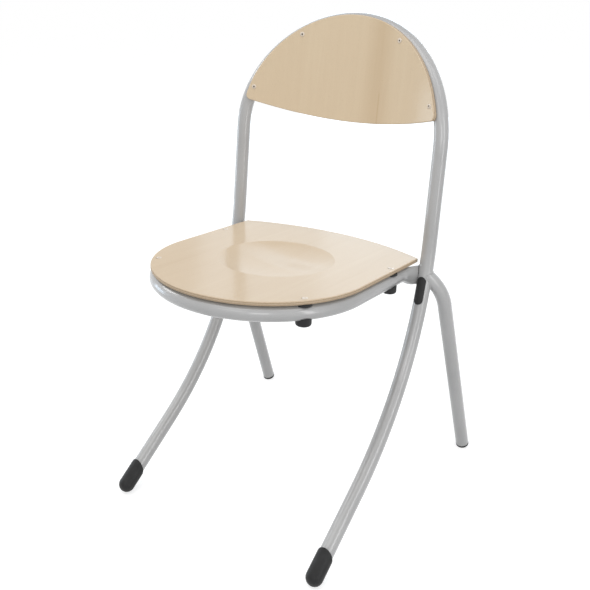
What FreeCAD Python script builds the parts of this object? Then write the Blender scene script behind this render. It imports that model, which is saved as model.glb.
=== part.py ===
import FreeCAD, Part
import math
import os

# Stacking choir chair: a bent steel hoop that is front legs, uprights and back arch in one,
# a seat ring and two rear legs welded to it, and a riveted plywood seat and back.
# Millimetres and degrees. X runs across the chair, -Y is the front and Z is up.
# The sections below work in drawing axes whose Y starts at the centre of the seat's round
# front. The last section moves the chair so that the origin is on the floor under the
# middle of its outline.

V = FreeCAD.Vector

# ---------------------------------------------------------------- driving dimensions

# frame tube, the same for hoop, seat ring and rear legs
TUBE_RADIUS = 12.5
TUBE_WALL = 2.0
WELD_SINK = 0.2

# hoop, from the front foot upwards; each lean is from the vertical towards the back
HOOP_HALF_WIDTH = 208.0
FRONT_FOOT_Y = -157.1
FRONT_LEG_LEAN_ANGLE = 56.35
FRONT_LEG_STRAIGHT = 145.6
KNEE_RADIUS = 530.7
UPRIGHT_LEAN_ANGLE = 6.93
UPRIGHT_STRAIGHT = 150.9
SHOULDER_RADIUS = 180.0
BACK_LEAN_ANGLE = 8.24
BACK_CURVE_RADIUS = 461.0

# seat, on a plane that falls towards the back
SEAT_HEIGHT = 450.6
SEAT_FALL_ANGLE = 4.06
SEAT_PLY = 7.0
SEAT_TO_UPRIGHT = 6.6
SEAT_PAST_UPRIGHT = 7.1
SEAT_REAR_BULGE = 43.3
SEAT_REAR_CORNER = 5.0
SEAT_EDGE_ROUND = 2.0
DISH_RADIUS = 101.0
DISH_DEPTH = 6.0
DISH_RIM_ROUND = 30.0
DISH_SETBACK = 32.0

# seat ring and its flattened ends, which lie against the inner side of each upright
RING_INSET = 10.6
RING_BEND_TO_UPRIGHT = 41.0
RING_END_INBOARD = 13.0
RING_END_PAST_UPRIGHT = 4.0
RING_BEND_RADIUS = 40.0
FLAT_HALF_HEIGHT = 16.5
FLAT_HALF_WIDTH = 7.6
FLATTENING_LENGTH = 20.0
FLAT_DROP = 3.5

# fixings of the seat on the ring
SPACER_RADIUS = 12.0
SPACER_CROWN = 2.7
SPACER_SKIRT = 1.2
BUMPER_RADIUS = 12.5
BUMPER_DROP = 8.5
BUMPER_SKIRT = 5.0
BUMPER_ROUND = 4.0
SEAT_RIVET_RADIUS = 2.5
SEAT_RIVET_HEAD_RADIUS = 5.0
SEAT_RIVET_HEAD_DEPTH = 2.5
SEAT_RIVET_IN_BUMPER = 6.0
FRONT_FIXING_ANGLE = 34.0
REAR_FIXING_TO_UPRIGHT = 75.5

# rear legs: a straight line beside and behind each upright, bent over to meet it
REAR_LEG_JOINT_HEIGHT = 413.5
REAR_LEG_OUTBOARD = 26.7
REAR_LEG_BEHIND = 6.3
REAR_LEG_SPLAY_ANGLE = 1.23
REAR_LEG_RAKE_ANGLE = 18.95
REAR_LEG_BEND_RADIUS = 93.0

# back
BACK_PLY = 6.5
BACK_OVERHANG = 7.4
BACK_SIDE_INSET = 4.1
BACK_LOWER_EDGE = 25.8
BACK_LOWER_RADIUS = 860.0
BACK_CORNER = 9.0
BACK_EDGE_ROUND = 1.5
BACK_RIVET_INSET = 4.0
BACK_RIVET_ANGLES = {"lower": 20.5, "upper": 58.8}
BACK_RIVET_RADIUS = 2.4
BACK_RIVET_HEAD_RADIUS = 4.5
BACK_RIVET_HEAD_HEIGHT = 1.8
BACK_RIVET_BULB_RADIUS = 3.2
BACK_RIVET_BULB_LENGTH = 4.0

# protector pads on the uprights
PAD_BELOW_JOINT = 27.2
PAD_LENGTH = 49.0
PAD_WIDTH = 16.0
PAD_THICKNESS = 1.8
PAD_GLUE = 0.2

# feet
CAP_WALL = 2.0
CAP_LENGTH = 34.6
CAP_RIM_SLANT_ANGLE = 33.7
FIT_CLEARANCE = 0.1
SOLE_FLAT_DEPTH = 0.4
PLUG_DOME_RADIUS = 25.0
PLUG_RIM = 1.2
PLUG_STEM_LENGTH = 18.0

# ---------------------------------------------------------------- helpers

SIDES = (("left", -1), ("right", 1))


def unit(vector):
    return vector * (1.0 / vector.Length)


def mirrored(shape):
    return shape.mirror(V(0, 0, 0), V(1, 0, 0))


def on_side(shape, side):
    """The right-hand shape itself, or its mirror image for the left."""
    return shape if side > 0 else mirrored(shape)


def frame_at(origin, x_axis, y_axis, z_axis):
    """Placement whose axes are the three given directions."""
    m = FreeCAD.Matrix(
        x_axis.x, y_axis.x, z_axis.x, origin.x,
        x_axis.y, y_axis.y, z_axis.y, origin.y,
        x_axis.z, y_axis.z, z_axis.z, origin.z,
        0, 0, 0, 1)
    return FreeCAD.Placement(m)


def tangent_arc(start, tangent, end):
    """Circular arc from start, leaving along tangent, to end."""
    chord = end - start
    middle = (start + end) * 0.5
    toward = unit(tangent)
    half_turn = toward.getAngle(chord)
    bulge = toward - unit(chord) * math.cos(half_turn)
    rise = chord.Length / 2 * math.tan(half_turn / 2)
    return Part.Arc(start, middle + unit(bulge) * rise, end).toShape()


def arc_pair(start, start_tangent, end, end_tangent):
    """Two arcs that meet smoothly and join two points with given tangents."""
    span = end - start
    a = 2 * (start_tangent.dot(end_tangent) - 1)
    b = -2 * span.dot(start_tangent + end_tangent)
    c = span.dot(span)
    reach = (-b - math.sqrt(b * b - 4 * a * c)) / (2 * a)
    meet = (start + end + (start_tangent - end_tangent) * reach) * 0.5
    first = tangent_arc(start, start_tangent, meet)
    last = tangent_arc(end, end_tangent * -1, meet)
    return [first, last]


def round_bar(path, radius):
    """Solid of round section along a smooth run of edges."""
    wire = Part.Wire(Part.__sortEdges__(path))
    start = wire.OrderedVertexes[0].Point
    first = wire.OrderedEdges[0]
    at_start = first.ParameterRange[0]
    if (first.valueAt(at_start) - start).Length > (first.valueAt(first.ParameterRange[1]) - start).Length:
        at_start = first.ParameterRange[1]
    profile = Part.Wire(Part.makeCircle(radius, start, first.tangentAt(at_start)))
    return wire.makePipeShell([profile], True, False)


def tube(path):
    """Frame tube along a run of edges: the outside solid and the hollow tube."""
    outside = round_bar(path, TUBE_RADIUS)
    return outside, outside.cut(round_bar(path, TUBE_RADIUS - TUBE_WALL))


def revolved(profile, pose):
    """Solid turned about local Z from a closed outline of (radius, height) edges."""
    face = Part.Face(Part.Wire(Part.__sortEdges__(profile)))
    solid = face.revolve(V(0, 0, 0), V(0, 0, 1), 360)
    solid.Placement = pose
    return solid


def line(a, b):
    return Part.makeLine(a, b)


def outline(*points):
    """Straight edges through (radius, height) points, closed."""
    ring = [V(r, 0, h) for r, h in points]
    return [line(a, b) for a, b in zip(ring, ring[1:] + ring[:1])]


# ---------------------------------------------------------------- hoop

CAP_RADIUS = TUBE_RADIUS + FIT_CLEARANCE + CAP_WALL


def leaning(angle):
    """Direction that rises while leaning back by angle."""
    return V(0, math.sin(math.radians(angle)), math.cos(math.radians(angle)))


def turn(start, lean, next_lean, radius):
    """End of an arc in the side plane that changes the lean."""
    a = math.radians(lean)
    b = math.radians(next_lean)
    way = 1 if next_lean > lean else -1
    return start + V(0, way * (math.cos(a) - math.cos(b)), way * (math.sin(b) - math.sin(a))) * radius


front_foot = V(HOOP_HALF_WIDTH, FRONT_FOOT_Y, CAP_RADIUS - SOLE_FLAT_DEPTH)
knee_start = front_foot + leaning(FRONT_LEG_LEAN_ANGLE) * FRONT_LEG_STRAIGHT
knee_end = turn(knee_start, FRONT_LEG_LEAN_ANGLE, UPRIGHT_LEAN_ANGLE, KNEE_RADIUS)
upright_end = knee_end + leaning(UPRIGHT_LEAN_ANGLE) * UPRIGHT_STRAIGHT
shoulder = turn(upright_end, UPRIGHT_LEAN_ANGLE, BACK_LEAN_ANGLE, SHOULDER_RADIUS)

side_path = [
    line(front_foot, knee_start),
    tangent_arc(knee_start, leaning(FRONT_LEG_LEAN_ANGLE), knee_end),
    line(knee_end, upright_end),
    tangent_arc(upright_end, leaning(UPRIGHT_LEAN_ANGLE), shoulder),
]

# Back axes: origin between the shoulders, X across, Y up the lean, Z towards the sitter.
# The arch and the back plywood lie on cylinders about an upward axis in front of the back.
back_up = leaning(BACK_LEAN_ANGLE)
back_ahead = leaning(BACK_LEAN_ANGLE - 90)
back_axes = frame_at(V(0, shoulder.y, shoulder.z), V(1, 0, 0), back_up, back_ahead)
BACK_AXIS_AHEAD = math.sqrt(BACK_CURVE_RADIUS ** 2 - HOOP_HALF_WIDTH ** 2)


def on_back(x, y, radius):
    """Point of a back cylinder, in back axes."""
    return V(x, y, BACK_AXIS_AHEAD - math.sqrt(radius ** 2 - x ** 2))


def arch_point(angle):
    x = HOOP_HALF_WIDTH * math.cos(angle)
    return on_back(x, HOOP_HALF_WIDTH * math.sin(angle), BACK_CURVE_RADIUS)


def arch_tangent(angle):
    x = HOOP_HALF_WIDTH * math.cos(angle)
    across = -HOOP_HALF_WIDTH * math.sin(angle)
    ahead = x * across / math.sqrt(BACK_CURVE_RADIUS ** 2 - x ** 2)
    return unit(V(across, HOOP_HALF_WIDTH * math.cos(angle), ahead))


def arch_path():
    """Half circle rolled on the back cylinder, as smooth arcs between five of its points."""
    stations = [math.radians(a) for a in (0, 45, 90, 135, 180)]
    edges = []
    for a, b in zip(stations, stations[1:]):
        edges += arc_pair(arch_point(a), arch_tangent(a), arch_point(b), arch_tangent(b))
    for edge in edges:
        edge.Placement = back_axes
    return edges


hoop_outside, hoop_tube = tube(side_path + arch_path() + [mirrored(edge) for edge in side_path])

# ring ends and rear legs are coped on this core, so that they sink into the hoop by the weld
weld_core = round_bar(side_path, TUBE_RADIUS - WELD_SINK)


# far beyond the chair on every side, for planes and blocks that only mark a level
REACH = 10 * HOOP_HALF_WIDTH
# how closely an offset face follows the one that it comes from
EXACTNESS = 0.001


def upright_at(plane):
    """Point of the right upright's axis on a plane."""
    return Part.Wire(side_path).distToShape(plane)[1][0][0]


def upright_at_height(height):
    return upright_at(Part.makePlane(2 * REACH, 2 * REACH, V(-REACH, -REACH, height)))


# ---------------------------------------------------------------- seat plywood

# Seat axes: origin on the top face at the centre of the round front, X across,
# Y backwards along the seat, Z out of its top.
seat_backwards = leaning(90 + SEAT_FALL_ANGLE)
seat_up = leaning(SEAT_FALL_ANGLE)
seat_axes = frame_at(V(0, 0, SEAT_HEIGHT), V(1, 0, 0), seat_backwards, seat_up)
SEAT_HALF_WIDTH = HOOP_HALF_WIDTH - TUBE_RADIUS - SEAT_TO_UPRIGHT
RING_RADIUS = SEAT_HALF_WIDTH - RING_INSET
RING_LEVEL = -SEAT_PLY - SPACER_CROWN - TUBE_RADIUS

ring_plane = Part.makePlane(2 * REACH, 2 * REACH, V(-REACH, -REACH, RING_LEVEL))
ring_plane.Placement = seat_axes.multiply(ring_plane.Placement)
upright_in_seat = seat_axes.inverse().multVec(upright_at(ring_plane))


def dish():
    """Solid of the round pressing: a shallow ball floor that rolls over into the flat top."""
    both_radii = (DISH_RADIUS ** 2 + DISH_DEPTH ** 2) / (2 * DISH_DEPTH)
    floor_radius = both_radii - DISH_RIM_ROUND
    floor_centre = V(0, 0, floor_radius - DISH_DEPTH)
    rim_centre = V(DISH_RADIUS, 0, -DISH_RIM_ROUND)
    meet = rim_centre + unit(floor_centre - rim_centre) * DISH_RIM_ROUND
    middle = V(0, 0, 0)
    floor = V(0, 0, -DISH_DEPTH)
    rim = V(DISH_RADIUS, 0, 0)
    profile = [line(floor, middle), line(middle, rim),
               tangent_arc(rim, V(-1, 0, 0), meet), tangent_arc(floor, V(1, 0, 0), meet)]
    return revolved(profile, FreeCAD.Placement(V(0, DISH_SETBACK, 0), FreeCAD.Rotation()))


def edges_along(solid, direction):
    """Straight edges that run along a direction."""
    return [e for e in solid.Edges
            if isinstance(e.Curve, Part.Line) and abs(e.tangentAt(e.FirstParameter).dot(direction)) > 0.999]


def edges_at_height(solid, *heights):
    """Edges that lie flat at one of the heights."""
    return [e for e in solid.Edges
            if e.BoundBox.ZLength < 0.01 and min(abs(e.BoundBox.ZMin - h) for h in heights) < 0.01]


def seat_ply():
    half = SEAT_HALF_WIDTH
    corner_y = upright_in_seat.y + SEAT_PAST_UPRIGHT
    left_rear = V(-half, corner_y, 0)
    right_rear = V(half, corner_y, 0)
    rim = Part.Wire([
        Part.Arc(V(-half, 0, 0), V(0, -half, 0), V(half, 0, 0)).toShape(),
        line(V(half, 0, 0), right_rear),
        Part.Arc(right_rear, V(0, corner_y + SEAT_REAR_BULGE, 0), left_rear).toShape(),
        line(left_rear, V(-half, 0, 0)),
    ])
    sheet = Part.Face(rim).extrude(V(0, 0, -SEAT_PLY))
    corners = [e for e in edges_along(sheet, V(0, 0, 1)) if e.BoundBox.YMin > corner_y - 1]
    sheet = sheet.makeFillet(SEAT_REAR_CORNER, corners)
    sheet = sheet.makeFillet(SEAT_EDGE_ROUND, edges_at_height(sheet, 0, -SEAT_PLY))
    bulge = dish()
    bulge.translate(V(0, 0, -SEAT_PLY))
    return sheet.fuse(bulge).cut(dish())


# ---------------------------------------------------------------- seat ring

ring_corner = V(RING_RADIUS, upright_in_seat.y - RING_BEND_TO_UPRIGHT, RING_LEVEL)
ring_outwards = unit(upright_in_seat - V(RING_END_INBOARD, 0, 0) - ring_corner)


def ring_path():
    """Centre line of the ring's round part, and the point where its right end starts."""
    back = V(0, 1, 0)
    reach = RING_BEND_RADIUS * math.tan(back.getAngle(ring_outwards) / 2)
    bend_start = ring_corner - back * reach
    bend_end = ring_corner + ring_outwards * reach
    side_start = V(RING_RADIUS, 0, RING_LEVEL)
    side = [line(side_start, bend_start), tangent_arc(bend_start, back, bend_end)]
    front = Part.Arc(V(-RING_RADIUS, 0, RING_LEVEL), V(0, -RING_RADIUS, RING_LEVEL), side_start).toShape()
    return [mirrored(edge) for edge in side] + [front] + side, bend_end


def oval(centre, along, half_height, half_width):
    """Upright oval across the tube; a circle where the two halves are equal."""
    pose = frame_at(centre, V(0, 0, 1), unit(along.cross(V(0, 0, 1))) * -1, along)
    if half_height > half_width:
        curve = Part.Ellipse(V(0, 0, 0), half_height, half_width)
    else:
        curve = Part.Circle(V(0, 0, 0), V(0, 0, 1), half_height)
    edge = curve.toShape()
    edge.Placement = pose
    return Part.Wire(edge)


def flattened_end(start, inset):
    """Tube end pressed from round to a tall oval, ending a little past the upright's axis."""
    drop = V(0, 0, -FLAT_DROP)
    pressed = start + ring_outwards * FLATTENING_LENGTH + drop
    beyond_corner = RING_BEND_TO_UPRIGHT / ring_outwards.y + RING_END_PAST_UPRIGHT
    end = ring_corner + ring_outwards * beyond_corner + drop
    tall = (FLAT_HALF_HEIGHT - inset, FLAT_HALF_WIDTH - inset)
    return Part.makeLoft([
        oval(start, ring_outwards, TUBE_RADIUS - inset, TUBE_RADIUS - inset),
        oval(pressed, ring_outwards, *tall),
        oval(end, ring_outwards, *tall),
    ], True, False)


def ring_solid(inset):
    path, end = ring_path()
    flat = flattened_end(end, inset)
    return round_bar(path, TUBE_RADIUS - inset).fuse([flat, mirrored(flat)])


ring_outside = ring_solid(0)
ring_inside = ring_solid(TUBE_WALL)


# ---------------------------------------------------------------- seat fixings

def fixing_points():
    angle = math.radians(FRONT_FIXING_ANGLE)
    front = V(RING_RADIUS * math.cos(angle), -RING_RADIUS * math.sin(angle), 0)
    rear = V(RING_RADIUS, upright_in_seat.y - REAR_FIXING_TO_UPRIGHT, 0)
    return {"front": front, "rear": rear}


BUMPER_TOP = RING_LEVEL - TUBE_RADIUS + BUMPER_SKIRT
BUMPER_BOTTOM = RING_LEVEL - TUBE_RADIUS - BUMPER_DROP
SPACER_BOTTOM = -SEAT_PLY - SPACER_CROWN - SPACER_SKIRT
SEAT_RIVET_END = RING_LEVEL - TUBE_RADIUS - SEAT_RIVET_IN_BUMPER


def seat_rivet(point):
    profile = outline((0, 0), (SEAT_RIVET_HEAD_RADIUS, 0), (SEAT_RIVET_RADIUS, -SEAT_RIVET_HEAD_DEPTH),
                      (SEAT_RIVET_RADIUS, SEAT_RIVET_END), (0, SEAT_RIVET_END))
    return revolved(profile, FreeCAD.Placement(point, FreeCAD.Rotation()))


def seat_spacer(point):
    block = Part.makeCylinder(SPACER_RADIUS, -SEAT_PLY - SPACER_BOTTOM, point + V(0, 0, SPACER_BOTTOM))
    return block.cut([ring_outside, seat_rivet(point)])


def ring_bumper(point):
    block = Part.makeCylinder(BUMPER_RADIUS, BUMPER_TOP - BUMPER_BOTTOM, point + V(0, 0, BUMPER_BOTTOM))
    block = block.makeFillet(BUMPER_ROUND, edges_at_height(block, BUMPER_BOTTOM))
    return block.cut([ring_outside, seat_rivet(point)])


# ---------------------------------------------------------------- rear legs

def rear_leg_line():
    """A point of the right rear leg's straight axis and its upward direction."""
    joint = upright_at_height(REAR_LEG_JOINT_HEIGHT)
    beside = joint + V(REAR_LEG_OUTBOARD, REAR_LEG_BEHIND, 0)
    splay = math.tan(math.radians(REAR_LEG_SPLAY_ANGLE))
    rake = math.tan(math.radians(REAR_LEG_RAKE_ANGLE))
    return joint, beside, unit(V(-splay, -rake, 1))


PLUG_RIM_BELOW_CENTRE = math.sqrt(PLUG_DOME_RADIUS ** 2 - TUBE_RADIUS ** 2)


def rear_foot():
    """Centre of the plug's ball-shaped sole and the leg's direction."""
    joint, beside, up = rear_leg_line()
    centre_height = PLUG_DOME_RADIUS - SOLE_FLAT_DEPTH
    return beside + up * ((centre_height - beside.z) / up.z), up


def rear_leg():
    joint, beside, up = rear_leg_line()
    centre, up = rear_foot()
    tube_end = centre - up * (PLUG_RIM_BELOW_CENTRE - PLUG_RIM)
    level = beside + up * up.dot(joint - beside)
    away = (joint - level).Length
    bend = math.acos(1 - away / REAR_LEG_BEND_RADIUS)
    bend_start = level - up * (REAR_LEG_BEND_RADIUS * math.sin(bend))
    outside, hollow = tube([line(tube_end, bend_start), tangent_arc(bend_start, up, joint)])
    return hollow.cut(weld_core)


# ---------------------------------------------------------------- back plywood and its rivets

def back_wall(radius):
    """Curved face of a back cylinder, in back axes, tall enough for the whole plywood."""
    height = 4 * HOOP_HALF_WIDTH
    drum = Part.makeCylinder(radius, height, V(0, -height / 2, BACK_AXIS_AHEAD), V(0, 1, 0))
    return max(drum.Faces, key=lambda face: face.Area)


def back_ply():
    """Half moon pressed to the back cylinder; its edges are cut square to the curved face."""
    depth = 2 * HOOP_HALF_WIDTH
    radius = HOOP_HALF_WIDTH - BACK_SIDE_INSET
    round_top = Part.makeCylinder(radius, depth, V(0, BACK_SIDE_INSET + BACK_OVERHANG, -depth / 2))
    lower_centre = V(0, BACK_LOWER_EDGE + BACK_LOWER_RADIUS, -depth / 2)
    half_moon = round_top.common(Part.makeCylinder(BACK_LOWER_RADIUS, depth, lower_centre))
    half_moon = half_moon.makeFillet(BACK_CORNER, edges_along(half_moon, V(0, 0, 1)))
    rear_face = half_moon.common(back_wall(BACK_CURVE_RADIUS - TUBE_RADIUS)).Faces[0]
    board = rear_face.makeOffsetShape(-BACK_PLY, EXACTNESS, fill=True).Solids[0]
    return board.makeFillet(BACK_EDGE_ROUND, board.Edges)


def back_rivet(angle):
    """Blind rivet through the plywood into the arch, square to the plywood."""
    turn_angle = math.radians(angle)
    circle = HOOP_HALF_WIDTH - BACK_RIVET_INSET
    in_tube = on_back(circle * math.cos(turn_angle), circle * math.sin(turn_angle), BACK_CURVE_RADIUS)
    ahead = unit(V(-in_tube.x, 0, BACK_AXIS_AHEAD - in_tube.z))
    under_head = in_tube + ahead * (TUBE_RADIUS + BACK_PLY)
    bulb_reach = BACK_RIVET_INSET + BACK_RIVET_BULB_RADIUS
    bulb_start = math.sqrt((TUBE_RADIUS - TUBE_WALL) ** 2 - bulb_reach ** 2) - TUBE_RADIUS - BACK_PLY
    bulb_end = bulb_start - BACK_RIVET_BULB_LENGTH
    head_edge = V(BACK_RIVET_HEAD_RADIUS, 0, 0)
    head_top = V(0, 0, BACK_RIVET_HEAD_HEIGHT)
    profile = [
        tangent_arc(head_top, V(1, 0, 0), head_edge),
        line(head_edge, V(BACK_RIVET_RADIUS, 0, 0)),
        line(V(BACK_RIVET_RADIUS, 0, 0), V(BACK_RIVET_RADIUS, 0, bulb_start)),
        line(V(BACK_RIVET_RADIUS, 0, bulb_start), V(BACK_RIVET_BULB_RADIUS, 0, bulb_start)),
        line(V(BACK_RIVET_BULB_RADIUS, 0, bulb_start), V(BACK_RIVET_BULB_RADIUS, 0, bulb_end)),
        line(V(BACK_RIVET_BULB_RADIUS, 0, bulb_end), V(0, 0, bulb_end)),
        line(V(0, 0, bulb_end), head_top),
    ]
    return revolved(profile, frame_at(under_head, V(0, 1, 0).cross(ahead), V(0, 1, 0), ahead))


# ---------------------------------------------------------------- protector pads and feet

below_floor = Part.makeBox(2 * REACH, 2 * REACH, REACH, V(-REACH, -REACH, -REACH))


def edge_pad():
    """Oblong pad that wraps the front of the right upright."""
    height = REAR_LEG_JOINT_HEIGHT - PAD_BELOW_JOINT
    centre = upright_at_height(height)
    upwards = unit(upright_at_height(height + 1) - upright_at_height(height - 1))
    ahead = V(1, 0, 0).cross(upwards)
    radius = PAD_WIDTH / 2
    straight = PAD_LENGTH - PAD_WIDTH
    depth = 2 * (TUBE_RADIUS + PAD_GLUE + PAD_THICKNESS)
    shape = Part.makeBox(PAD_WIDTH, straight, depth, V(-radius, -straight / 2, 0))
    ends = [Part.makeCylinder(radius, depth, V(0, way * straight / 2, 0)) for way in (-1, 1)]
    oblong = shape.fuse(ends)
    oblong.Placement = frame_at(centre, V(1, 0, 0), upwards, ahead)
    bed = TUBE_RADIUS + PAD_GLUE
    sleeve = round_bar(side_path, bed + PAD_THICKNESS).cut(round_bar(side_path, bed))
    return oblong.common(sleeve)


def front_foot_cap():
    """Domed cap on the tube end; its rim slants so that the cap reaches higher in front."""
    top = 2 * CAP_LENGTH
    bore = TUBE_RADIUS + FIT_CLEARANCE
    sole = V(0, 0, -CAP_RADIUS)
    corners = [V(CAP_RADIUS, 0, 0), V(CAP_RADIUS, 0, top), V(bore, 0, top), V(bore, 0, 0), V(0, 0, 0), sole]
    profile = [tangent_arc(sole, V(1, 0, 0), corners[0])]
    profile += [line(a, b) for a, b in zip(corners, corners[1:])]
    up = leaning(FRONT_LEG_LEAN_ANGLE)
    across = V(1, 0, 0)
    sleeve = revolved(profile, frame_at(front_foot, across, up.cross(across), up))
    rim_centre = front_foot + up * CAP_LENGTH
    rim_axis = leaning(FRONT_LEG_LEAN_ANGLE + CAP_RIM_SLANT_ANGLE)
    above_rim = Part.makeCylinder(top, top, rim_centre, rim_axis)
    return sleeve.cut([above_rim, below_floor])


def rear_foot_plug():
    centre, up = rear_foot()
    stem = TUBE_RADIUS - TUBE_WALL - FIT_CLEARANCE
    rim_low = -PLUG_RIM_BELOW_CENTRE
    rim_high = rim_low + PLUG_RIM
    sole = V(0, 0, -PLUG_DOME_RADIUS)
    corners = [V(TUBE_RADIUS, 0, rim_low), V(TUBE_RADIUS, 0, rim_high), V(stem, 0, rim_high),
               V(stem, 0, rim_high + PLUG_STEM_LENGTH), V(0, 0, rim_high + PLUG_STEM_LENGTH), sole]
    profile = [tangent_arc(sole, V(1, 0, 0), corners[0])]
    profile += [line(a, b) for a, b in zip(corners, corners[1:])]
    across = unit(V(0, 1, 0).cross(up))
    return revolved(profile, frame_at(centre, across, up.cross(across), up)).cut(below_floor)


# ---------------------------------------------------------------- assembly

parts = {}


def placed(shape, axes):
    copy = shape.copy()
    copy.Placement = axes.multiply(copy.Placement)
    return copy


seat_board = seat_ply()
ring_tube = ring_outside.cut(ring_inside)
for place, point in fixing_points().items():
    for side_name, side in SIDES:
        name = place + "_" + side_name
        rivet = on_side(seat_rivet(point), side)
        parts["seat_spacer_" + name] = placed(on_side(seat_spacer(point), side), seat_axes)
        parts["ring_bumper_" + name] = placed(on_side(ring_bumper(point), side), seat_axes)
        parts["seat_rivet_" + name] = placed(rivet, seat_axes)
        seat_board = seat_board.cut(rivet)
        ring_tube = ring_tube.cut(rivet)
parts["seat_ply"] = placed(seat_board, seat_axes)
parts["seat_ring_tube"] = placed(ring_tube, seat_axes).cut([weld_core, mirrored(weld_core)])

back_board = placed(back_ply(), back_axes)
for place, angle in BACK_RIVET_ANGLES.items():
    for side_name, side in SIDES:
        rivet = on_side(placed(back_rivet(angle), back_axes), side)
        parts["back_rivet_" + place + "_" + side_name] = rivet
        back_board = back_board.cut(rivet)
        hoop_tube = hoop_tube.cut(rivet)
parts["back_ply"] = back_board
parts["hoop_tube"] = hoop_tube

for name, right_hand in (("rear_leg", rear_leg()), ("rear_foot_plug", rear_foot_plug()),
                         ("front_foot_cap", front_foot_cap()), ("edge_pad", edge_pad())):
    for side_name, side in SIDES:
        parts[name + "_" + side_name] = on_side(right_hand, side)

# origin on the floor, under the middle of the outline from front to back
box = Part.makeCompound(list(parts.values())).optimalBoundingBox(False, False)
to_origin = V(0, -(box.YMin + box.YMax) / 2, 0)

os.makedirs("parts", exist_ok=True)
for name, shape in parts.items():
    shape.translate(to_origin)
    shape.exportStep("parts/" + name + ".step")
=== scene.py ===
import math

import bmesh
import bpy
from mathutils import Matrix, Vector
from mathutils.bvhtree import BVHTree


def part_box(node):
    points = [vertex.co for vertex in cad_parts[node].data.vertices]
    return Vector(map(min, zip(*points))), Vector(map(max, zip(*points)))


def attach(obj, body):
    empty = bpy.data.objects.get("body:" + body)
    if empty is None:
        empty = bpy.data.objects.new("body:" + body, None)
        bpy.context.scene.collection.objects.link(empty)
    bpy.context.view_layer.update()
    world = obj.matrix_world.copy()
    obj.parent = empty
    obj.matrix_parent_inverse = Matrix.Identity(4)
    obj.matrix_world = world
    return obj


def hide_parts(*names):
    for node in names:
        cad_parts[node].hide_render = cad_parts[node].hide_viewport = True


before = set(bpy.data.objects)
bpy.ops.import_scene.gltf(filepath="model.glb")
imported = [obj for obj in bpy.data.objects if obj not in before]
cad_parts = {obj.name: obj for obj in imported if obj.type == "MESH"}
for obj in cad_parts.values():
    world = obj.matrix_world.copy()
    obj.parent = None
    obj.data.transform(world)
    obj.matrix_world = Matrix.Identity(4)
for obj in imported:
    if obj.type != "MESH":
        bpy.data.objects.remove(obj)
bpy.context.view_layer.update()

# Dressing of the choir chair: paint, varnished veneer, moulded feet and pads, set rivets and
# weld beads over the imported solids, then a pale studio. Metres; X across, -Y front, Z up.

# ---------------------------------------------------------------- sizes shared with the solids

TUBE_RADIUS = 0.0125
KNEE_RADIUS = 0.5307
KNEE_END = Vector((0.208, 0.12039, 0.47262))
UPRIGHT_LEAN = math.radians(6.93)

SEAT_ORIGIN = Vector((0, -0.07647, 0.4506))
SEAT_TILT = math.radians(-4.06)
SEAT_PLY = 0.007
SEAT_DISH = {"setback": 0.032, "radius": 0.101, "deeper": 0.008}
PLIES = 5

BACK_ORIGIN = Vector((0, 0.13913, 0.6265))
BACK_TILT = math.radians(90 - 8.24)
BACK_CURVE_RADIUS = 0.461
HOOP_HALF_WIDTH = 0.208
BACK_PLY = 0.0065
BACK_FRONT_RADIUS = BACK_CURVE_RADIUS - TUBE_RADIUS - BACK_PLY
BACK_AXIS_AHEAD = math.sqrt(BACK_CURVE_RADIUS ** 2 - HOOP_HALF_WIDTH ** 2)

PAD_HEIGHT = 0.3863
PAD_LENGTH = 0.049
PAD_WIDTH = 0.016
PAD_BED = TUBE_RADIUS + 0.0002
PAD_THICKNESS = 0.0018
PAD_RIM_ROUND = 0.0009
PAD_CROWN = 0.0001

# right rear foot: centre of the ball-shaped sole, and the leg's direction
PLUG_CENTRE = Vector((0.24305, 0.249573, 0.0246))
REAR_LEG_UP = Vector((-0.020303, -0.324676, 0.945607))
PLUG_DOME_RADIUS = 0.025
PLUG_RIM = 0.0012
PLUG_STEM_RADIUS = 0.0104
PLUG_STEM_LENGTH = 0.018
# lip over the tube's end: how far up, how proud of the tube, how deep into its wall
LIP_HEIGHT = 0.0032
LIP_PROUD = 0.00012
LIP_SUNK = 0.0004

SIDES = (("left", -1), ("right", 1))


# ---------------------------------------------------------------- camera

def make_camera():
    """Camera in front of the chair's right-hand corner, looking down at it."""
    azimuth = math.radians(34.614)
    elevation = math.radians(20.035)
    back = Vector((math.sin(azimuth) * math.cos(elevation),
                   -math.cos(azimuth) * math.cos(elevation),
                   math.sin(elevation)))
    data = bpy.data.cameras.new("camera")
    data.sensor_width = 36
    data.lens = 48.913
    data.shift_x = -0.00189
    data.shift_y = -0.08477
    data.clip_start = 0.05
    data.clip_end = 100
    camera = bpy.data.objects.new("camera", data)
    camera.rotation_mode = "QUATERNION"
    camera.location = (0.75619, -1.07922, 0.93862)
    camera.rotation_quaternion = (-back).to_track_quat("-Z", "Y")
    bpy.context.scene.collection.objects.link(camera)
    bpy.context.scene.camera = camera


make_camera()


# ---------------------------------------------------------------- node helpers

def add(tree, kind, values=None, **settings):
    """One node. Values go to its inputs by name or number, as numbers or as other nodes' outputs."""
    made = tree.nodes.new(kind)
    for key, value in settings.items():
        setattr(made, key, value)
    for key, value in (values or {}).items():
        socket = made.inputs[key]
        if isinstance(value, bpy.types.NodeSocket):
            tree.links.new(value, socket)
        else:
            socket.default_value = value
    return made


def maths(tree, operation, *values):
    return add(tree, "ShaderNodeMath", dict(enumerate(values)), operation=operation).outputs[0]


def plus(tree, a, b):
    return maths(tree, "ADD", a, b)


def minus(tree, a, b):
    return maths(tree, "SUBTRACT", a, b)


def times(tree, a, b):
    return maths(tree, "MULTIPLY", a, b)


def dot(tree, a, b):
    return add(tree, "ShaderNodeVectorMath", {0: a, 1: b}, operation="DOT_PRODUCT").outputs["Value"]


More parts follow.
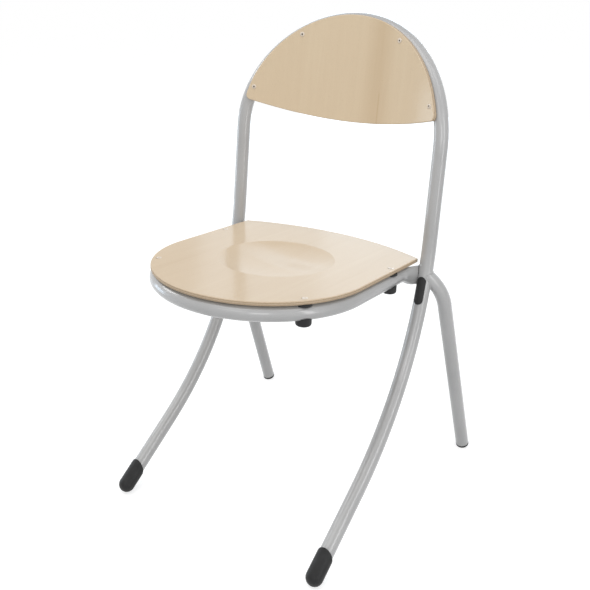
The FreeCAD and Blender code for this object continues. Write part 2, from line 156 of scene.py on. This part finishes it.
def between(tree, value, low, high):
    """0 below low, 1 above high, smooth in between."""
    return add(tree, "ShaderNodeMapRange", {"Value": value, "From Min": low, "From Max": high},
               interpolation_type="SMOOTHSTEP").outputs[0]


def blend_colours(tree, factor, a, b):
    mix = add(tree, "ShaderNodeMix", data_type="RGBA")
    for key, value in ((0, factor), (6, a), (7, b)):
        if isinstance(value, bpy.types.NodeSocket):
            tree.links.new(value, mix.inputs[key])
        else:
            mix.inputs[key].default_value = value
    return mix.outputs[2]


def noise(tree, coordinates, scale, detail=2.0, roughness=0.5, distortion=0.0):
    return add(tree, "ShaderNodeTexNoise", {"Vector": coordinates, "Scale": scale, "Detail": detail,
               "Roughness": roughness, "Distortion": distortion}).outputs["Fac"]


def stretched(tree, coordinates, x, y, z):
    """Coordinates multiplied axis by axis."""
    factors = {0: coordinates, 1: (x, y, z)}
    return add(tree, "ShaderNodeVectorMath", factors, operation="MULTIPLY").outputs[0]


def ramp(tree, factor, *stops):
    """Colour ramp through (place, colour) stops."""
    made = add(tree, "ShaderNodeValToRGB", {"Fac": factor})
    made.color_ramp.interpolation = "EASE"
    while len(made.color_ramp.elements) < len(stops):
        made.color_ramp.elements.new(0.5)
    for element, (place, colour) in zip(made.color_ramp.elements, stops):
        element.position = place
        element.color = (*colour, 1)
    return made.outputs["Color"]


def new_material(name, **constants):
    """Material with one Principled shader whose constant sockets are set by name."""
    material = bpy.data.materials.new(name)
    material.use_nodes = True
    tree = material.node_tree
    shader = tree.nodes["Principled BSDF"]
    for key, value in constants.items():
        shader.inputs[key.replace("_", " ")].default_value = value
    place = add(tree, "ShaderNodeTexCoord").outputs["Object"]
    return material, tree, shader, place


def set_roughness(tree, shader, value, low, high):
    spread = add(tree, "ShaderNodeMapRange", {"Value": value, "To Min": low, "To Max": high})
    tree.links.new(spread.outputs[0], shader.inputs["Roughness"])


def bump(tree, shader, height, distance, strength):
    made = add(tree, "ShaderNodeBump", {"Height": height, "Distance": distance, "Strength": strength})
    tree.links.new(made.outputs["Normal"], shader.inputs["Normal"])
    return made


# ---------------------------------------------------------------- materials

def silver_paint():
    """Satin powder coat with fine metal flake and a slight orange peel."""
    material, tree, shader, place = new_material(
        "silver_powder_coat", Metallic=0.15, Specular_IOR_Level=0.2, Coat_Weight=0.9, Coat_Roughness=0.1)
    drift = noise(tree, place, 9, 3)
    flake = noise(tree, place, 1400, 1)
    tone = plus(tree, times(tree, drift, 0.6), times(tree, flake, 0.4))
    colour = ramp(tree, tone, (0.3, (0.385, 0.385, 0.385)), (0.7, (0.45, 0.45, 0.45)))
    tree.links.new(colour, shader.inputs["Base Color"])
    set_roughness(tree, shader, noise(tree, place, 60, 2), 0.36, 0.46)
    bump(tree, shader, noise(tree, place, 420, 2), 0.0001, 0.1)
    return material


def black_plastic():
    """Matt black moulded plastic with a fine spark-eroded grain."""
    material, tree, shader, place = new_material("black_moulded_plastic", Specular_IOR_Level=0.28)
    drift = noise(tree, place, 45, 3)
    colour = ramp(tree, drift, (0.3, (0.013, 0.013, 0.0135)), (0.75, (0.022, 0.022, 0.0225)))
    tree.links.new(colour, shader.inputs["Base Color"])
    set_roughness(tree, shader, noise(tree, place, 200, 2), 0.42, 0.56)
    bump(tree, shader, noise(tree, place, 2400, 2), 0.00006, 0.35)
    return material


def lacquered_rivet():
    """Rivet heads lacquered cream to go with the veneer, a little worn where they were struck."""
    material, tree, shader, place = new_material("cream_lacquered_rivet", Specular_IOR_Level=0.35)
    colour = ramp(tree, noise(tree, place, 900, 3), (0.3, (0.68, 0.59, 0.49)), (0.7, (0.76, 0.68, 0.59)))
    tree.links.new(colour, shader.inputs["Base Color"])
    set_roughness(tree, shader, noise(tree, place, 2500, 2), 0.34, 0.5)
    bump(tree, shader, noise(tree, place, 3000, 2), 0.00003, 0.3)
    return material


def crevice_shade_paint():
    """Near-black paint on the bead where the seat ring meets the upright: painted shade of the narrow
    crevice between the two tubes.
    """
    material, tree, shader, place = new_material(
        "thin_paint_over_weld", Metallic=0.2, Specular_IOR_Level=0.2)
    colour = ramp(tree, noise(tree, place, 500, 3), (0.3, (0.10, 0.10, 0.10)), (0.7, (0.19, 0.19, 0.19)))
    tree.links.new(colour, shader.inputs["Base Color"])
    set_roughness(tree, shader, noise(tree, place, 900, 2), 0.5, 0.7)
    bump(tree, shader, noise(tree, place, 1800, 2), 0.0001, 0.4)
    return material


def pin_steel_with_painted_shade():
    """Steel of the snapped pin inside a rivet head, made near black: painted shade of the hollow it sits
    in.
    """
    material, tree, shader, place = new_material("snapped_pin_steel", Metallic=0.6)
    drift = noise(tree, place, 3000, 2)
    colour = ramp(tree, drift, (0.3, (0.010, 0.009, 0.008)), (0.7, (0.03, 0.028, 0.026)))
    tree.links.new(colour, shader.inputs["Base Color"])
    set_roughness(tree, shader, noise(tree, place, 4000, 2), 0.5, 0.75)
    bump(tree, shader, noise(tree, place, 5000, 2), 0.00005, 0.5)
    return material


def board_place(tree, place, origin, tilt):
    """Coordinates in a board's own axes: X across, Y along its face, Z out of it."""
    return add(tree, "ShaderNodeMapping", {"Vector": place, "Location": origin, "Rotation": (tilt, 0, 0)},
               vector_type="TEXTURE").outputs[0]


VENEER_TONES = ((0.25, (0.965, 0.95, 0.93)), (0.5, (1.0, 1.0, 1.0)), (0.75, (1.03, 1.045, 1.06)))
FIBRE_BROWN = (0.52, 0.39, 0.25, 1)
RAY_BROWN = (0.42, 0.29, 0.17, 1)
# colour of the painted shade bands on the back
SHADE_BAND_BROWN = (0.52, 0.365, 0.205, 1)
GLUE_BROWN = (0.26, 0.18, 0.12, 1)


def curved_board(tree, x, z, normal, up, curve):
    """Depth behind the front cylinder, whose axis lies ahead of the board, and how far a face
    looks along the cylinder's radius: 1 on front and rear, 0 on the edges."""
    from_axis = minus(tree, z, curve["axis_ahead"])
    radius = maths(tree, "SQRT", plus(tree, times(tree, x, x), times(tree, from_axis, from_axis)))
    across = dot(tree, normal, Vector((1, 0, 0)))
    lean = plus(tree, times(tree, across, x), times(tree, up, from_axis))
    facing = maths(tree, "ABSOLUTE", maths(tree, "DIVIDE", lean, radius))
    return minus(tree, radius, curve["front_radius"]), facing


def beech_face(tree, local, tone, drift, fibre):
    """Slow tone drift, lengthwise figure, fibre, and the short dark rays of beech."""
    figure = noise(tree, stretched(tree, local, 70, 3.5, 20), 1.0, 4, 0.55, 0.6)
    rays = noise(tree, stretched(tree, local, 1500, 260, 1500), 1.0, 1)
    shade = plus(tree, times(tree, drift, 0.45), times(tree, figure, 0.55))
    tones = [(stop, [a * b for a, b in zip(tone, change)]) for stop, change in VENEER_TONES]
    face = ramp(tree, shade, *tones)
    face = blend_colours(tree, times(tree, between(tree, fibre, 0.45, 0.75), 0.08), face, FIBRE_BROWN)
    return blend_colours(tree, times(tree, between(tree, rays, 0.62, 0.72), 0.14), face, RAY_BROWN)


def painted_shade_bands(tree, face, bands, x, y, drift):
    """Painted shade down the board's hollow, as darker bands along its Y: place across, half width, upper
    end and strength.
    """
    for centre, width, top, strength in bands:
        wander = times(tree, minus(tree, drift, 0.5), 0.006)
        off = maths(tree, "ABSOLUTE", minus(tree, plus(tree, x, wander), centre))
        inside = minus(tree, 1.0, between(tree, off, 0.0, width))
        below = minus(tree, 1.0, between(tree, y, top - 0.01, top))
        streak = times(tree, times(tree, inside, below), strength)
        face = blend_colours(tree, streak, face, SHADE_BAND_BROWN)
    return face


def layered_edge(tree, local, layer):
    """Plies turned by a quarter, each parted from the next by a thin line of glue."""
    odd = maths(tree, "GREATER_THAN", maths(tree, "PINGPONG", maths(tree, "FLOOR", layer), 1.0), 0.5)
    grainy = noise(tree, stretched(tree, local, 350, 350, 2200), 1.0, 3, 0.65)
    along = ramp(tree, grainy, (0.3, (0.53, 0.41, 0.285)), (0.7, (0.65, 0.53, 0.39)))
    end_on = ramp(tree, grainy, (0.3, (0.39, 0.285, 0.18)), (0.7, (0.53, 0.41, 0.285)))
    glue = minus(tree, 1.0, between(tree, maths(tree, "PINGPONG", layer, 0.5), 0.02, 0.10))
    edge = blend_colours(tree, odd, along, end_on)
    return blend_colours(tree, times(tree, glue, 0.6), edge, GLUE_BROWN), glue


def dish_walls(tree, x, y, up, dish):
    """Bump that steepens a round dish's rear wall in the light and lets its front run out flat."""
    back = minus(tree, y, dish["setback"])
    reach = plus(tree, times(tree, x, x), times(tree, back, back))
    fall = minus(tree, times(tree, reach, dish["radius"] ** -2), 1.0)
    rearwards = between(tree, plus(tree, back, times(tree, x, 0.25)), -0.025, 0.05)
    hollow = times(tree, maths(tree, "MINIMUM", fall, 0.0), rearwards)
    height = times(tree, hollow, maths(tree, "SIGN", up))
    walls = add(tree, "ShaderNodeBump", {"Height": height, "Distance": dish["deeper"], "Strength": 1.0})
    return walls.outputs["Normal"]


def veneer(name, tone, gloss, origin, tilt, ply, plies, curve=None, bands=(), dish=None):
    """Varnished beech plywood: face veneer with the grain along the board's Y, and layered edges."""
    material, tree, shader, place = new_material(
        name, Coat_Weight=gloss, Coat_Roughness=0.17, Coat_IOR=1.5, Specular_IOR_Level=0.0)
    local = board_place(tree, place, origin, tilt)
    x, y, z = add(tree, "ShaderNodeSeparateXYZ", {0: local}).outputs
    normal = add(tree, "ShaderNodeTexCoord").outputs["Normal"]
    up = dot(tree, normal, Matrix.Rotation(tilt, 3, "X") @ Vector((0, 0, 1)))
    if curve:
        depth, facing = curved_board(tree, x, z, normal, up, curve)
    else:
        depth = times(tree, z, -1.0)
        facing = maths(tree, "ABSOLUTE", up)

    drift = noise(tree, stretched(tree, local, 14, 1.6, 1), 1.0, 3)
    fibre = noise(tree, stretched(tree, local, 900, 22, 900), 1.0, 3, 0.6)
    face = painted_shade_bands(tree, beech_face(tree, local, tone, drift, fibre), bands, x, y, drift)
    edge, glue = layered_edge(tree, local, times(tree, depth, plies / ply))
    on_edge = minus(tree, 1.0, between(tree, facing, 0.70, 0.90))
    tree.links.new(blend_colours(tree, on_edge, face, edge), shader.inputs["Base Color"])

    worn = noise(tree, local, 22, 3)
    set_roughness(tree, shader, plus(tree, worn, times(tree, on_edge, 0.6)), 0.34, 0.55)
    relief = plus(tree, times(tree, fibre, 0.5), times(tree, glue, on_edge))
    grained = bump(tree, shader, relief, 0.00008, 0.3)
    if dish:
        walls = dish_walls(tree, x, y, up, dish)
        tree.links.new(walls, grained.inputs["Normal"])
        tree.links.new(walls, shader.inputs["Coat Normal"])
    return material


paint = silver_paint()
plastic = black_plastic()
rivet_lacquer = lacquered_rivet()
pin_painted_shade = pin_steel_with_painted_shade()
crevice_shade = crevice_shade_paint()
# The seat's tone is a little darker than the back's: painted shade that evens out the stronger light from
# above on the seat.
seat_veneer = veneer("varnished_beech_seat", (0.66, 0.533, 0.388), 0.3,
                     SEAT_ORIGIN, SEAT_TILT, SEAT_PLY, PLIES, dish=SEAT_DISH)
back_veneer = veneer("varnished_beech_back", (0.70, 0.563, 0.392), 0.7,
                     BACK_ORIGIN, BACK_TILT, BACK_PLY, PLIES,
                     curve={"axis_ahead": BACK_AXIS_AHEAD, "front_radius": BACK_FRONT_RADIUS},
                     # bands: painted shade where the hollow board turns from the light, wide right of the
                     # middle, with a thin darker line within it
                     bands=((0.062, 0.042, 0.4, 0.34), (0.068, 0.0022, 0.088, 0.45)))

FINISHES = {"frame_paint": paint, "black_plastic": plastic, "zinc_rivet": rivet_lacquer}
for name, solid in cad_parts.items():
    if name == "seat_ply":
        finish = seat_veneer
    elif name == "back_ply":
        finish = back_veneer
    else:
        finish = FINISHES[solid.data.materials[0].name.split(".")[0]]
    solid.material_slots[0].material = finish


# ---------------------------------------------------------------- mesh and geometry-node helpers

def mesh_object(name, points, faces=(), edges=()):
    mesh = bpy.data.meshes.new(name)
    mesh.from_pydata([tuple(p) for p in points], edges, faces)
    made = bpy.data.objects.new(name, mesh)
    bpy.context.scene.collection.objects.link(made)
    return made


def closed(piece, smooth_angle=40):
    """Merges doubles, turns all faces outwards and smooths all but sharp edges."""
    work = bmesh.new()
    work.from_mesh(piece.data)
    bmesh.ops.remove_doubles(work, verts=work.verts, dist=1e-6)
    bmesh.ops.dissolve_degenerate(work, edges=work.edges, dist=1e-7)
    bmesh.ops.recalc_face_normals(work, faces=work.faces)
    for face in work.faces:
        face.smooth = True
    for edge in work.edges:
        edge.smooth = not edge.is_manifold or edge.calc_face_angle(0) < math.radians(smooth_angle)
    work.to_mesh(piece.data)
    work.free()
    return piece


def turned(name, profile, segments=40):
    """Closed solid turned about Z from an outline of (radius, height) points, axis to axis."""
    points = []
    faces = []
    for i in range(segments):
        angle = 2 * math.pi * i / segments
        points += [(r * math.cos(angle), r * math.sin(angle), h) for r, h in profile]
    rings = len(profile)
    for i in range(segments):
        here = i * rings
        there = ((i + 1) % segments) * rings
        faces += [(here + j, there + j, there + j + 1, here + j + 1) for j in range(rings - 1)]
    return closed(mesh_object(name, points, faces))


def node_group(name, **sockets):
    """Geometry tree with a geometry input and the named inputs; returns tree, inputs by name, output."""
    tree = bpy.data.node_groups.new(name, "GeometryNodeTree")
    tree.interface.new_socket("Geometry", in_out="INPUT", socket_type="NodeSocketGeometry")
    for label, kind in sockets.items():
        tree.interface.new_socket(label.replace("_", " "), in_out="INPUT", socket_type="NodeSocket" + kind)
    tree.interface.new_socket("Geometry", in_out="OUTPUT", socket_type="NodeSocketGeometry")
    return tree, tree.nodes.new("NodeGroupInput").outputs, tree.nodes.new("NodeGroupOutput").inputs[0]


def give_finish(tree, geometry, finish, result):
    dressed = add(tree, "GeometryNodeSetMaterial", {"Geometry": geometry, "Material": finish})
    tree.links.new(dressed.outputs[0], result)


def grown(name, base, tree, **values):
    """The mesh that a geometry tree makes from a base object, which is used up."""
    modifier = base.modifiers.new("grow", "NODES")
    modifier.node_group = tree
    for item in tree.interface.items_tree:
        if item.in_out == "INPUT" and item.name.replace(" ", "_") in values:
            modifier[item.identifier] = values[item.name.replace(" ", "_")]
    evaluated = base.evaluated_get(bpy.context.evaluated_depsgraph_get())
    mesh = bpy.data.meshes.new_from_object(evaluated)
    mesh.name = name
    made = bpy.data.objects.new(name, mesh)
    bpy.context.scene.collection.objects.link(made)
    bpy.data.objects.remove(base)
    return made


def copies_tree():
    """A pattern on every point, its Z along the point's facing."""
    tree, given, result = node_group("copies_on_points", Pattern="Object", Size="Float", Finish="Material")
    facing = add(tree, "GeometryNodeInputNamedAttribute", {"Name": "facing"}, data_type="FLOAT_VECTOR")
    turn = add(tree, "FunctionNodeAlignRotationToVector", {"Vector": facing.outputs[0]}, axis="Z")
    pattern = add(tree, "GeometryNodeObjectInfo", {"Object": given["Pattern"]}, transform_space="ORIGINAL")
    spread = add(tree, "GeometryNodeInstanceOnPoints", {
        "Points": given["Geometry"], "Instance": pattern.outputs["Geometry"],
        "Rotation": turn.outputs[0], "Scale": given["Size"]})
    real = add(tree, "GeometryNodeRealizeInstances", {0: spread.outputs[0]})
    give_finish(tree, real.outputs[0], given["Finish"], result)
    return tree


def bead_tree():
    """Weld bead along a line: a round core with overlapping ripples, each a little uneven."""
    tree, given, result = node_group(
        "weld_bead", Radius="Float", Pitch="Float", Seed="Int", Finish="Material")
    line = add(tree, "GeometryNodeMeshToCurve", {"Mesh": given["Geometry"]})
    stations = add(tree, "GeometryNodeResampleCurve",
                   {"Curve": line.outputs[0], "Length": given["Pitch"]}, mode="LENGTH")
    core_radius = times(tree, given["Radius"], 0.86)
    ring = add(tree, "GeometryNodeCurvePrimitiveCircle", {"Resolution": 10, "Radius": core_radius})
    core = add(tree, "GeometryNodeCurveToMesh", {
        "Curve": stations.outputs[0], "Profile Curve": ring.outputs[0], "Fill Caps": True})
    drop = add(tree, "GeometryNodeMeshUVSphere", {"Segments": 12, "Rings": 7, "Radius": given["Radius"]})
    tangent = add(tree, "GeometryNodeInputTangent")
    turn = add(tree, "FunctionNodeAlignRotationToVector", {"Vector": tangent.outputs[0]}, axis="Z")
    wobble = add(tree, "FunctionNodeRandomValue",
                 {2: 0.92, 3: 1.08, "Seed": given["Seed"]}, data_type="FLOAT")
    flat = add(tree, "ShaderNodeCombineXYZ", {0: wobble.outputs[1], 1: wobble.outputs[1], 2: 0.75})
    ripples = add(tree, "GeometryNodeInstanceOnPoints", {
        "Points": stations.outputs[0], "Instance": drop.outputs[0],
        "Rotation": turn.outputs[0], "Scale": flat.outputs[0]})
    whole = add(tree, "GeometryNodeJoinGeometry")
    tree.links.new(core.outputs[0], whole.inputs[0])
    tree.links.new(ripples.outputs[0], whole.inputs[0])
    real = add(tree, "GeometryNodeRealizeInstances", {0: whole.outputs[0]})
    smooth = add(tree, "GeometryNodeSetShadeSmooth", {0: real.outputs[0]})
    give_finish(tree, smooth.outputs[0], given["Finish"], result)
    return tree


def finish_piece(piece, replaced=()):
    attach(piece, "root")
    if replaced:
        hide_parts(*replaced)


# ---------------------------------------------------------------- rivets

def centre_of(node_name):
    low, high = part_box(node_name)
    return (low + high) / 2


def in_back(point):
    """A point in the back's own axes: X across, Y up the lean, Z towards the sitter."""
    return Matrix.Rotation(-BACK_TILT, 3, "X") @ (point - BACK_ORIGIN)


def on_back_face(point):
    """Seat of a rivet head on the back's front face, and its facing, from the CAD rivet's middle."""
    local = in_back(point)
    ahead = Vector((-local.x, 0, BACK_AXIS_AHEAD - local.z)).normalized()
    reach = Vector((local.x, 0, local.z - BACK_AXIS_AHEAD)).length
    seat = local + ahead * (reach - BACK_FRONT_RADIUS)
    turn = Matrix.Rotation(BACK_TILT, 3, "X")
    return turn @ seat + BACK_ORIGIN, turn @ ahead


def points_with_facing(name, seats):
    cloud = mesh_object(name, [seat for seat, facing in seats])
    attribute = cloud.data.attributes.new("facing", "FLOAT_VECTOR", "POINT")
    for entry, (seat, facing) in zip(attribute.data, seats):
        entry.vector = facing
    return cloud


COPIES = copies_tree()

HEAD_RADIUS = 0.0045
HEAD_HEIGHT = 0.0017
CORE_RADIUS = 0.0015
SHANK_RADIUS = 0.0022
SHANK_LENGTH = 0.0055
blind_rivet = turned("blind_rivet_pattern", [
    (0, -SHANK_LENGTH), (SHANK_RADIUS, -SHANK_LENGTH), (SHANK_RADIUS, -0.0001),
    (HEAD_RADIUS - 0.0001, -0.0001), (HEAD_RADIUS, 0.0002), (HEAD_RADIUS - 0.0003, 0.0007),
    (0.0033, 0.0013), (0.0023, HEAD_HEIGHT - 0.0001),
    (CORE_RADIUS + 0.0003, HEAD_HEIGHT), (CORE_RADIUS, HEAD_HEIGHT - 0.0003),
    (CORE_RADIUS, 0.0004), (0, 0.0004)])
snapped_pin = turned("snapped_pin_pattern", [
    (0, 0.0002), (CORE_RADIUS - 0.00005, 0.0002), (CORE_RADIUS - 0.00005, 0.0006),
    (0.0009, 0.0009), (0.0004, 0.0007), (0, 0.0008)], 24)
SEAT_HEAD_RADIUS = 0.005
SEAT_RIVET_RADIUS = 0.0025
SEAT_RIVET_LENGTH = 0.0409
seat_rivet = turned("seat_rivet_pattern", [
    (0, -SEAT_RIVET_LENGTH), (SEAT_RIVET_RADIUS, -SEAT_RIVET_LENGTH),
    (SEAT_RIVET_RADIUS, -0.0025), (SEAT_HEAD_RADIUS - 0.0002, -0.0001),
    (SEAT_HEAD_RADIUS - 0.0005, 0), (0.0023, 0.0001), (0.0019, -0.0001), (0.0016, -0.0012), (0, -0.0015)])

back_names = ["back_rivet_%s_%s" % (row, side_name)
              for row in ("lower", "upper") for side_name, side in SIDES]
back_seats = [on_back_face(centre_of(name)) for name in back_names]
for name, seat in zip(back_names, back_seats):
    rivet = grown(name + "_set", points_with_facing("seat_point", [seat]), COPIES,
                  Pattern=blind_rivet, Size=1.0, Finish=rivet_lacquer)
    finish_piece(rivet, [name])
pins = grown("back_rivet_pins", points_with_facing("seat_points", back_seats), COPIES,
             Pattern=snapped_pin, Size=1.0, Finish=pin_painted_shade)
finish_piece(pins)

seat_up = Matrix.Rotation(SEAT_TILT, 3, "X") @ Vector((0, 0, 1))
for row in ("front", "rear"):
    for side_name, side in SIDES:
        name = "seat_rivet_%s_%s" % (row, side_name)
        middle = centre_of(name)
        seat = middle + seat_up * (SEAT_ORIGIN - middle).dot(seat_up)
        rivet = grown(name + "_set", points_with_facing("seat_point", [(seat, seat_up)]), COPIES,
                      Pattern=seat_rivet, Size=1.0, Finish=rivet_lacquer)
        finish_piece(rivet, [name])

for pattern in (blind_rivet, snapped_pin, seat_rivet):
    bpy.data.objects.remove(pattern)


# ---------------------------------------------------------------- protector pads

def upright_at(height, side):
    """Axis point of the hoop in its knee at a height, with its upward direction."""
    lean = math.asin(math.sin(UPRIGHT_LEAN) + (KNEE_END.z - height) / KNEE_RADIUS)
    y = KNEE_END.y - KNEE_RADIUS * (math.cos(UPRIGHT_LEAN) - math.cos(lean))
    return Vector((side * KNEE_END.x, y, height)), Vector((0, math.sin(lean), math.cos(lean)))


def pad_piece(name, side):
    """Oblong pad with a rounded rim, bent over the front of the tube."""
    centre, up = upright_at(PAD_HEIGHT, side)
    ahead = Vector((1, 0, 0)).cross(up)
    half = (PAD_LENGTH - PAD_WIDTH) / 2
    rim = PAD_RIM_ROUND
    shell = [(0.0, 0.0)]
    for i in range(7):
        angle = math.pi / 2 * i / 6
        shell.append((rim * (1 - math.cos(angle)), PAD_THICKNESS - rim + rim * math.sin(angle)))
    shell += [(PAD_WIDTH / 2 * t, PAD_THICKNESS + PAD_CROWN * t) for t in (0.3, 0.6, 0.85, 1.0)]
    bed = [(PAD_WIDTH / 2 * t, 0.0) for t in (1.0, 0.7, 0.4, 0.15)]
    loops = bed + shell
    count = 48
    points = []
    for inset, height in loops:
        for i in range(count):
            angle = 2 * math.pi * (i + 0.5) / count
            reach = PAD_WIDTH / 2 - inset
            across = reach * math.cos(angle)
            along = reach * math.sin(angle) + math.copysign(half, math.sin(angle))
            front = math.sqrt((PAD_BED + height) ** 2 - across ** 2) + along ** 2 / (2 * KNEE_RADIUS)
            points.append(centre + Vector((across, 0, 0)) + up * along + ahead * front)
    faces = []
    for j in range(len(loops) - 1):
        for i in range(count):
            k = (i + 1) % count
            faces.append((j * count + i, j * count + k, (j + 1) * count + k, (j + 1) * count + i))
    pad = closed(mesh_object(name, points, faces), 60)
    pad.data.materials.append(plastic)
    return pad


for side_name, side in SIDES:
    finish_piece(pad_piece("protector_pad_" + side_name, side), ["edge_pad_" + side_name])


# ---------------------------------------------------------------- rear foot plugs

def foot_plug(name, side):
    """Plug with a ball-shaped sole, flat where it stands, and a thin lip over the tube's end."""
    low = -math.sqrt(PLUG_DOME_RADIUS ** 2 - TUBE_RADIUS ** 2)
    high = low + PLUG_RIM
    top = high + LIP_HEIGHT
    lip = TUBE_RADIUS + LIP_PROUD
    sunk = TUBE_RADIUS - LIP_SUNK
    angles = [math.asin(TUBE_RADIUS / PLUG_DOME_RADIUS) * i / 10 for i in range(11)]
    outline = [(PLUG_DOME_RADIUS * math.sin(a), -PLUG_DOME_RADIUS * math.cos(a)) for a in angles]
    outline += [(lip, low + 0.0002), (lip, top - 0.0001), (TUBE_RADIUS, top), (sunk, top), (sunk, high),
                (PLUG_STEM_RADIUS, high), (PLUG_STEM_RADIUS, high + PLUG_STEM_LENGTH),
                (0, high + PLUG_STEM_LENGTH)]
    plug = turned(name, outline, 64)
    centre = Vector((side * PLUG_CENTRE.x, PLUG_CENTRE.y, PLUG_CENTRE.z))
    turn = Vector((side * REAR_LEG_UP.x, REAR_LEG_UP.y, REAR_LEG_UP.z)).to_track_quat("Z", "Y")
    for vertex in plug.data.vertices:
        vertex.co = turn @ vertex.co + centre
        vertex.co.z = max(vertex.co.z, 0.0)
    plug.data.materials.append(plastic)
    return plug


for side_name, side in SIDES:
    plug = foot_plug("foot_plug_" + side_name, side)
    finish_piece(plug, ["rear_foot_plug_" + side_name])


# ---------------------------------------------------------------- weld beads

TOUCHING = 0.0004


def touching_line(node_name, onto, side, direction, bins=44):
    """Closed line where a coped tube end meets another tube: the outermost rim points by angle."""
    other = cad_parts[onto].data
    surface = BVHTree.FromPolygons([v.co for v in other.vertices],
                                   [tuple(p.vertices) for p in other.polygons])
    rim = []
    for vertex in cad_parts[node_name].data.vertices:
        if vertex.co.x * side > 0 and surface.find_nearest(vertex.co)[3] < TOUCHING:
            rim.append(vertex.co.copy())
    centre = sum(rim, Vector()) / len(rim)
    sideways = direction.cross(Vector((0, 0, 1))).normalized()
    upwards = sideways.cross(direction).normalized()
    best = {}
    for point in rim:
        arm = point - centre
        a, b = arm.dot(sideways), arm.dot(upwards)
        key = int((math.atan2(b, a) + math.pi) / (2 * math.pi) * bins) % bins
        if key not in best or math.hypot(a, b) > best[key][0]:
            best[key] = (math.hypot(a, b), point)
    return [best[key][1] for key in sorted(best)]


BEAD = bead_tree()

LEG_BEAD_RADIUS = 0.0014
# RING_SHADE_LINE_RADIUS sets the width of the dark line of painted crevice shade at the ring's ends
RING_SHADE_LINE_RADIUS = 0.0018


def weld(name, line, radius, finish):
    edges = [(i, (i + 1) % len(line)) for i in range(len(line))]
    base = mesh_object("weld_line", line, edges=edges)
    bead = grown(name, base, BEAD, Radius=radius, Pitch=radius * 0.75, Seed=7, Finish=finish)
    finish_piece(bead)


for side_name, side in SIDES:
    leg_end = Vector((side * 0.94, 0.30, 0.15)).normalized()
    weld("rear_leg_weld_" + side_name,
         touching_line("rear_leg_" + side_name, "hoop_tube", side, leg_end), LEG_BEAD_RADIUS, paint)
    # the ring's bead is painted near black: painted shade in the crevice where the ring's end meets the
    # upright
    ring_end = Vector((side, 0, 0))
    weld("seat_ring_weld_" + side_name,
         touching_line("seat_ring_tube", "hoop_tube", side, ring_end), RING_SHADE_LINE_RADIUS, crevice_shade)


# ---------------------------------------------------------------- studio

FLOOR_TONE = 0.52
FLOOR_GLOW = 0.66
ROOM_FILL = 0.65


def looked_at(tree):
    """1 for what the lens sees, straight or in a gloss, 0 for what lights the part."""
    path = add(tree, "ShaderNodeLightPath").outputs
    mirrored = maths(tree, "MAXIMUM", path["Is Glossy Ray"], path["Is Transmission Ray"])
    return maths(tree, "MAXIMUM", path["Is Camera Ray"], mirrored)


def stage_floor():
    floor = mesh_object("floor", [(-20, -20, 0), (20, -20, 0), (20, 20, 0), (-20, 20, 0)], [(0, 1, 2, 3)])
    material = bpy.data.materials.new("pale_floor")
    material.use_nodes = True
    tree = material.node_tree
    tree.nodes.clear()
    matt = add(tree, "ShaderNodeBsdfDiffuse", {"Color": (FLOOR_TONE, FLOOR_TONE, FLOOR_TONE, 1)})
    strength = times(tree, looked_at(tree), FLOOR_GLOW)
    glow = add(tree, "ShaderNodeEmission", {"Color": (1, 1, 1, 1), "Strength": strength})
    both = add(tree, "ShaderNodeAddShader", {0: matt.outputs[0], 1: glow.outputs[0]})
    add(tree, "ShaderNodeOutputMaterial", {"Surface": both.outputs[0]})
    floor.data.materials.append(material)


COOL = (0.68, 0.84, 1.0)


def soft_lamp(name, place, aim, size, power, colour=(1, 1, 1)):
    """Soft box that the lens never sees, only what it lights and where it mirrors."""
    data = bpy.data.lights.new(name, "AREA")
    data.shape = "RECTANGLE"
    data.size, data.size_y = size
    data.energy = power
    data.color = colour
    lamp = bpy.data.objects.new(name, data)
    lamp.location = place
    lamp.rotation_mode = "QUATERNION"
    lamp.rotation_quaternion = (Vector(aim) - Vector(place)).to_track_quat("-Z", "Y")
    lamp.visible_camera = False
    bpy.context.scene.collection.objects.link(lamp)


def studio_air():
    world = bpy.data.worlds.new("studio")
    world.use_nodes = True
    tree = world.node_tree
    tree.nodes.clear()
    backdrop = add(tree, "ShaderNodeBackground", {"Color": (1, 1, 1, 1), "Strength": 1.0})
    fill = add(tree, "ShaderNodeBackground", {"Color": (1, 1, 1, 1), "Strength": ROOM_FILL})
    choice = add(tree, "ShaderNodeMixShader",
                 {0: looked_at(tree), 1: fill.outputs[0], 2: backdrop.outputs[0]})
    add(tree, "ShaderNodeOutputWorld", {"Surface": choice.outputs[0]})
    bpy.context.scene.world = world


stage_floor()
studio_air()
soft_lamp("key", (-0.3, -0.9, 3.0), (0, 0, 0.45), (1.6, 1.6), 12)
soft_lamp("top_right", (1.3, -0.2, 2.8), (0, 0, 0.45), (1.0, 1.0), 4)
soft_lamp("left_high", (-2.1, -0.3, 1.9), (0, 0, 0.5), (0.8, 0.8), 9)
soft_lamp("front_fill", (0.2, -2.7, 2.2), (0, 0, 0.45), (1.2, 1.0), 5)
soft_lamp("camera_side", (1.6, -2.5, 1.5), (0, 0, 0.5), (0.9, 0.9), 9)
soft_lamp("right_strip", (2.2, -0.5, 1.0), (0, 0, 0.6), (0.35, 1.8), 9)
soft_lamp("left_panel", (-2.6, -0.55, 0.4), (0, -0.3, 0.4), (0.9, 0.8), 7, COOL)
soft_lamp("rear_window", (-1.70, 3.18, 1.61), (-0.18, -0.08, 1.61), (1.9, 3.18), 34, COOL)
soft_lamp("rear_window_right", (-1.36, 3.39, 1.11), (0.16, 0.13, 1.11), (1.1, 2.18), 12, COOL)
bpy.context.scene.view_settings.view_transform = "Standard"
